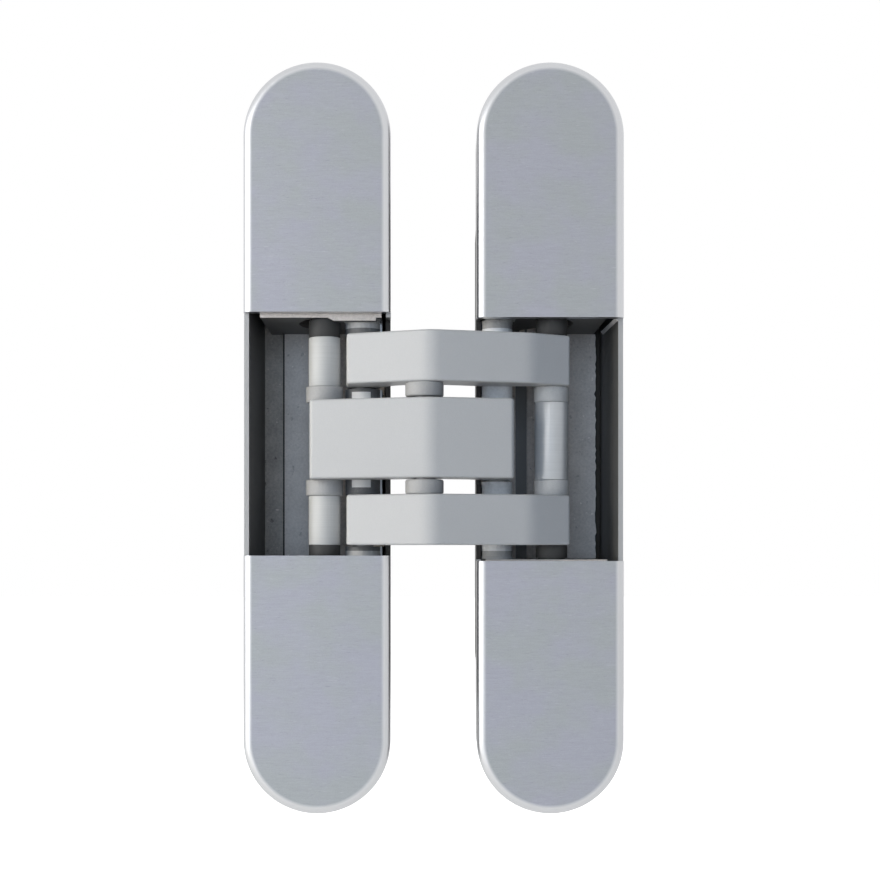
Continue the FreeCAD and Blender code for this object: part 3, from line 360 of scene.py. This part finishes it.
# Each is named for a node, for a family of nodes or for a material slot
FINISHES = {
    "satin_cover": satin_cover(),
    # Housing floor tones: painted light, brighter than the casting, on the frame leaf; painted
    # shade, near-black, on the door leaf
    "frame_housing": cast_housing("frame", floor_light_and_shade=(0.39, 0.365, 0.34)),
    "door_housing": cast_housing("door", floor_light_and_shade=(0.012, 0.013, 0.012)),
    # Knuckle tones: painted shade on the frame knuckles, painted light on the door knuckles
    "frame_carriage": cast_carriage("frame", knuckle_light_and_shade=(0.16, 0.163, 0.168),
                                    pad_color=(0.5, 0.5, 0.5)),
    "door_carriage": cast_carriage("door", knuckle_light_and_shade=(0.85, 0.86, 0.88),
                                   pad_color=(0.4, 0.4, 0.4)),
    "silver_arm": silver_arm(),
    "silver_sleeve": turned("silver_sleeve", (0.54, 0.548, 0.55), 0.1, 0.5),
    "middle_sleeve": turned("middle_sleeve", (0.61, 0.625, 0.64), 0.3, 0.38),
    "upper_outer_washer": moulded("upper_outer_washer", (0.52, 0.525, 0.53), 0.5),
    "lower_outer_washer": moulded("lower_outer_washer", (0.52, 0.525, 0.53), 0.5),
    "grey_ring": moulded("grey_ring", (0.39, 0.393, 0.4), 0.5),
    "shoe": moulded("shoe", (0.03, 0.031, 0.032), 0.6),
    # Near-white strip color: a painted highlight along the door pocket's corner
    "bright_edge": moulded("bright_edge", (0.7, 0.7, 0.71), 0.4),
    "bearing_bush": moulded("bearing_bush", (0.05, 0.05, 0.052), 0.45),
    "zinc_screw": zinc_screw(),
    "steel_pin": turned("steel_pin", (0.3, 0.3, 0.31), 0.9, 0.42),
}

# How wide the edges of a family's nodes are rounded, and in how many facets
ROUNDINGS = {
    "spacer": (0.4 * MM, 3),
    "washer": (0.18 * MM, 2),
    "sleeve": (0.18 * MM, 2),
    "shoe": (0.18 * MM, 2),
    "housing": (0.12 * MM, 2),
    "carriage": (0.12 * MM, 2),
}


def round_edges(node, width, segments):
    """Break a node's sharp edges by a small rounding."""
    weld = node.modifiers.new("weld", "WELD")
    weld.merge_threshold = 0.001 * MM
    bevel = node.modifiers.new("bevel", "BEVEL")
    bevel.width = width
    bevel.segments = segments
    bevel.limit_method = "ANGLE"
    bevel.angle_limit = math.radians(40)
    bevel.harden_normals = True


def dress_nodes():
    """Give every node its own finish, its family's or its slot's, and its family's rounding."""
    for subpart in frame["record"]["subparts"]:
        name = subpart["node"]
        family = name.split("_")[-1]
        node = frame["nodes"][name]
        key = next(k for k in (name, family, subpart["material_slot"]) if k in FINISHES)
        for slot in node.material_slots:
            slot.material = FINISHES[key]
        if family in ROUNDINGS:
            round_edges(node, *ROUNDINGS[family])


# Cast details

def bar(name, corners, back, height, body, finish, edge=None, lean=0.0):
    """A thin cast strip: its front outline, how deep its back lies and how far it stands out.

    The back, 0.05 mm deeper than that, may lean aside; the edges are rounded.
    """
    mesh = bmesh.new()
    front = [mesh.verts.new((x, back - height, z)) for x, z in corners]
    face = mesh.faces.new(front)
    grown = bmesh.ops.extrude_face_region(mesh, geom=[face])
    moved = [item for item in grown["geom"] if isinstance(item, bmesh.types.BMVert)]
    bmesh.ops.translate(mesh, vec=(lean, height + 0.05 * MM, 0), verts=moved)
    bmesh.ops.recalc_face_normals(mesh, faces=mesh.faces)
    data = bpy.data.meshes.new(name)
    mesh.to_mesh(data)
    mesh.free()
    data.materials.append(FINISHES[finish])
    piece = bpy.data.objects.new(name, data)
    bpy.context.collection.objects.link(piece)
    bevel = piece.modifiers.new("bevel", "BEVEL")
    bevel.width = edge or height / 3
    bevel.segments = 2
    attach(piece, body)


def door_floor_details():
    """The rib behind the outer arms' sleeve, and the ragged flash along the floor's outer edge."""
    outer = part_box("door_carriage")[1]
    floor_front = outer.y - 1.2 * MM
    low, high = -FLOOR_REACH, FLOOR_REACH
    bar("door_floor_rib", [(RIB[0], low), (RIB[1], low), (RIB[1], high), (RIB[0], high)],
        floor_front, 0.25 * MM, "door_leaf", "door_carriage")
    random.seed(11)
    steps = 60
    inside = outer.x - 2.1 * MM
    ragged = []
    for step in range(steps + 1):
        out = outer.x + 0.45 * MM + random.uniform(-0.12, 0.12) * MM
        if random.random() < 0.12:
            out += random.uniform(-0.3, 0.15) * MM
        ragged.append((out, low + 2 * high * step / steps))
    bar("door_floor_flash", [(inside, low)] + ragged + [(inside, high)],
        floor_front + 0.12 * MM, 0.12 * MM, "door_leaf", "door_carriage")


def door_corner_highlight():
    """A thin strip along the corner that runs into the pocket between its upper end and its outer
    wall; its near-white color is a painted highlight.
    """
    outer, top = 61.45 * MM, FLOOR_REACH
    width, drop, past = 0.55 * MM, 0.7 * MM, 0.2 * MM
    front, back = -11.2 * MM, 10 * MM
    bar("door_corner_highlight", [(outer - width, top), (outer, top - drop), (outer + past, top)],
        back, back - front, "door_leaf", "bright_edge", edge=0.08 * MM, lean=-width)


def frame_end_step():
    """The upper end block of the frame leaf steps down a little next to its knuckle."""
    start, slope_ends, end = 1.7 * MM, 3.3 * MM, 12.0 * MM
    top, step = 24.9 * MM, 24.1 * MM
    front, back = -11.12 * MM, -7.5 * MM
    bar("frame_end_step", [(start, top), (slope_ends, step), (end, step), (end, top)],
        back, back - front, "frame_leaf", "frame_carriage", edge=0.12 * MM)


# Studio

BACKGROUND = 1.0
WHITE = (1.0, 1.0, 1.0)
MIDDLE = (0.02375, 0, 0)


def world(ambient):
    """White to look at; as light on matt surfaces weaker, and most of it from above and left."""
    sky = bpy.data.worlds.new("studio")
    bpy.context.scene.world = sky
    sky.use_nodes = True
    graph = Graph(sky.node_tree)
    background = graph.tree.nodes["Background"]
    background.inputs["Color"].default_value = (*WHITE, 1)
    direction = graph.node("ShaderNodeTexCoord").outputs["Generated"]
    from_above = graph.span(graph.axis(direction, "Z"), -0.5, 0.3, 0.2 * ambient, ambient)
    from_left = graph.span(graph.axis(direction, "X"), -1.0, 1.0, 1.9, 0.1)
    strength = graph.span(graph.seen_directly(), 0.0, 1.0,
                          graph.both(from_above, from_left), BACKGROUND)
    graph.feed(background.inputs["Strength"], strength)


def floor():
    """A pale floor well below the hinge, which fades to white away from it."""
    below, near, far = -0.16, 0.15, 0.28
    near_white = 0.64
    bpy.ops.mesh.primitive_plane_add(size=8, location=(0.025, 0, below))
    plane = bpy.context.object
    plane.name = "floor"
    finish = Finish("floor", (0.7, 0.7, 0.7), 0.0, 0.9)
    distance = finish.node("ShaderNodeVectorMath", operation="LENGTH")
    finish.feed(distance.inputs[0], finish.place.outputs["Object"])
    away = finish.span(distance.outputs["Value"], near, far, 0, BACKGROUND - near_white)
    seen = finish.node("ShaderNodeLightPath").outputs["Is Camera Ray"]
    shown = finish.math("ADD", finish.both(seen, away),
                        finish.both(finish.seen_directly(), near_white))
    white = finish.node("ShaderNodeEmission")
    finish.feed(white.inputs["Strength"], shown)
    added = finish.node("ShaderNodeAddShader")
    finish.feed(added.inputs[0], finish.shader.outputs["BSDF"])
    finish.feed(added.inputs[1], white.outputs["Emission"])
    finish.feed(finish.tree.nodes["Material Output"].inputs["Surface"], added.outputs["Shader"])
    plane.data.materials.append(finish.material)


def softbox(name, place, width, height, power, color, on_matt=True, on_gloss=True):
    """An unseen lamp aimed at the hinge, which may be kept out of matt or glossy light."""
    light = bpy.data.lights.new(name, "AREA")
    light.shape = "RECTANGLE"
    light.size = width
    light.size_y = height
    light.energy = power
    light.color = color
    lamp = bpy.data.objects.new(name, light)
    bpy.context.collection.objects.link(lamp)
    lamp.location = place
    lamp.rotation_euler = (Vector(MIDDLE) - Vector(place)).to_track_quat("-Z", "Y").to_euler()
    lamp.visible_camera = False
    lamp.visible_diffuse = on_matt
    lamp.visible_glossy = on_gloss


def camera():
    """The photograph's view: straight on, low and slightly left, close enough for both pockets."""
    view = bpy.data.cameras.new("camera")
    eye = bpy.data.objects.new("camera", view)
    bpy.context.collection.objects.link(eye)
    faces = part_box("frame_upper_cap")[0].y
    distance = 0.32
    picture, eye_column, eye_row = 880, 417, 547
    pixels_per_metre = 4930
    eye.location = (0.02035, faces - distance, -0.0222)
    eye.rotation_euler = (math.pi / 2, 0, 0)
    view.sensor_width = 36
    view.lens = view.sensor_width * pixels_per_metre * distance / picture
    view.shift_x = (picture / 2 - eye_column) / picture
    view.shift_y = (eye_row - picture / 2) / picture
    view.clip_start = 0.01
    bpy.context.scene.camera = eye


dress_nodes()
door_floor_details()
door_corner_highlight()
frame_end_step()
world(0.11)
floor()
softbox("key", (-0.6, -0.42, 0.12), 0.5, 0.6, 4.8, (1.0, 0.935, 0.825), on_gloss=False)
softbox("sheen", (-0.75, -0.55, 0.1), 1.3, 0.8, 5.3, WHITE, on_matt=False)
softbox("front", (-0.08, -1.0, 0.1), 0.45, 0.45, 2.85, (0.62, 0.785, 1.0), on_gloss=False)
softbox("back", (0.4, 0.9, 0.3), 0.6, 0.6, 4.0, WHITE, on_gloss=False)
camera()

bpy.context.scene.view_settings.view_transform = "Standard"
